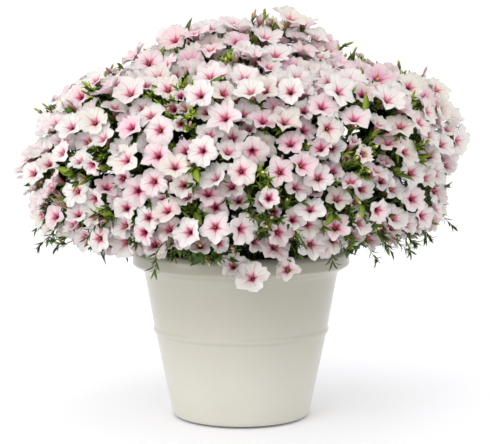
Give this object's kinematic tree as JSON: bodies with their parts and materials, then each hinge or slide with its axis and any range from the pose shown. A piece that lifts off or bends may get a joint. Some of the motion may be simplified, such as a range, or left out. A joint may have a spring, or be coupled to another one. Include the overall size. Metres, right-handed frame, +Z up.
{
  "type": "potted petunia",
  "caption": "Trailing petunia in full bloom: a wide mound of white, pink-veined flowers on leafy sprays, in a round off-white glazed pot with a thick lip and a raised ring.",
  "frame": {"origin": "centre of the underside of the pot", "axes": "+Z up along the pot's axis, -Y towards the front of the mound, +X to the right seen from the front"},
  "size_m": [0.8191, 0.7185, 0.7441],
  "materials": {
    "pot": "gloss",
    "soil": "matte",
    "petals": "matte",
    "foliage": "satin"
  },
  "bodies": {
    "root": {"pot": "pot", "soil": "soil", "flowering_spray_01": "petals", "flowering_spray_02": "petals", "flowering_spray_03": "petals", "flowering_spray_04": "petals", "flowering_spray_05": "petals", "flowering_spray_06": "petals", "flowering_spray_07": "petals", "flowering_spray_08": "petals", "flowering_spray_09": "petals", "flowering_spray_10": "petals", "flowering_spray_11": "petals", "flowering_spray_12": "petals", "flowering_spray_13": "petals", "flowering_spray_14": "petals", "flowering_spray_15": "petals", "flowering_spray_16": "petals", "flowering_spray_17": "petals", "flowering_spray_18": "petals", "flowering_spray_19": "petals", "flowering_spray_20": "petals", "flowering_spray_21": "petals", "flowering_spray_22": "petals", "flowering_spray_23": "petals", "flowering_spray_24": "petals", "flowering_spray_25": "petals", "flowering_spray_26": "petals", "flowering_spray_27": "petals", "flowering_spray_28": "petals", "flowering_spray_29": "petals", "flowering_spray_30": "petals", "flowering_spray_31": "petals", "flowering_spray_32": "petals"}
  },
  "joints": []
}
